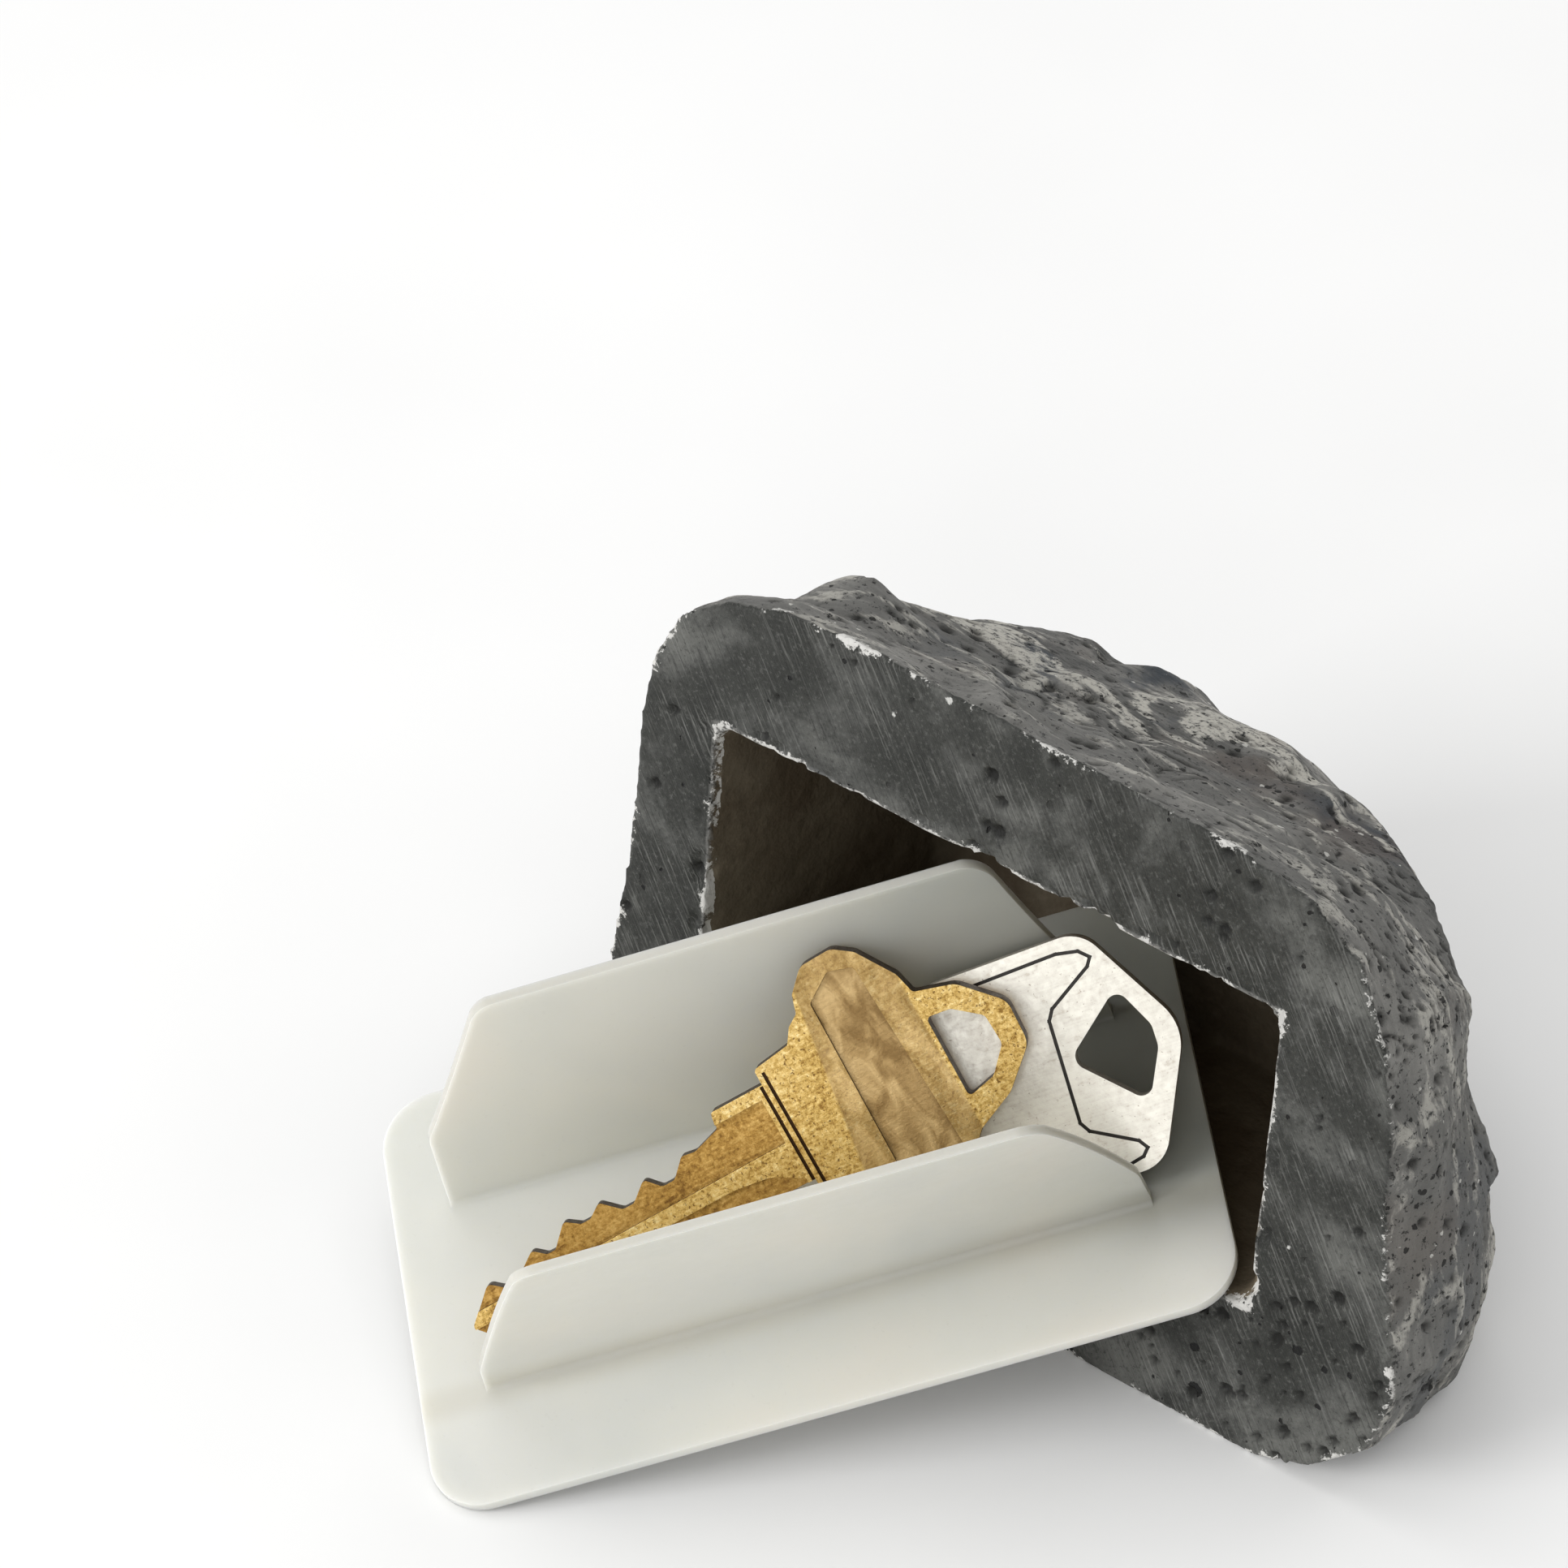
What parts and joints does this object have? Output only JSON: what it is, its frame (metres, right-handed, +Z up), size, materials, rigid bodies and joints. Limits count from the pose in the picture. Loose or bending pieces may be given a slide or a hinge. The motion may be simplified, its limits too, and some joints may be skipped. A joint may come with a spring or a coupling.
{
  "type": "hide a key rock",
  "caption": "Hollow imitation rock lying open on its side, with a plug tray that holds door keys leaning out of the opening in its base",
  "frame": {"origin": "centre of the open assembly's bounding box at ground level; the ground plane is the flat side that the rock lies on", "axes": "+Z up; X along the long side of the opening in the base; the opening faces -Y and leans back 12.7 degrees; +Y into the rock"},
  "size_m": [0.095, 0.0986, 0.06],
  "materials": {
    "stone_resin": "rough cast resin, hand-coloured like weathered rock, sanded flat on the base",
    "tray_plastic": "satin, milky and slightly translucent",
    "nickel": "satin nickel plate with fine stamped lines",
    "key_brass": "worn brass with a speckled patina"
  },
  "bodies": {
    "rock": {"rock_shell": "stone_resin"},
    "tray": {"key_tray": "tray_plastic"},
    "nickel": {"nickel_key": "nickel"},
    "brass": {"brass_key": "key_brass"}
  },
  "joints": [
    {"name": "tray_slide", "type": "slide", "parent": "rock", "child": "tray", "axis": [0, -1, 0], "range_m": [0, 0.065]},
    {"name": "brass_lift", "type": "slide", "parent": "tray", "child": "brass", "axis": [0, -0.3027, 0.9531], "range_m": [0, 0.045]},
    {"name": "nickel_slide", "type": "slide", "parent": "tray", "child": "nickel", "axis": [-0.6959, -0.6844, -0.2174], "range_m": [0, 0.035]}
  ]
}
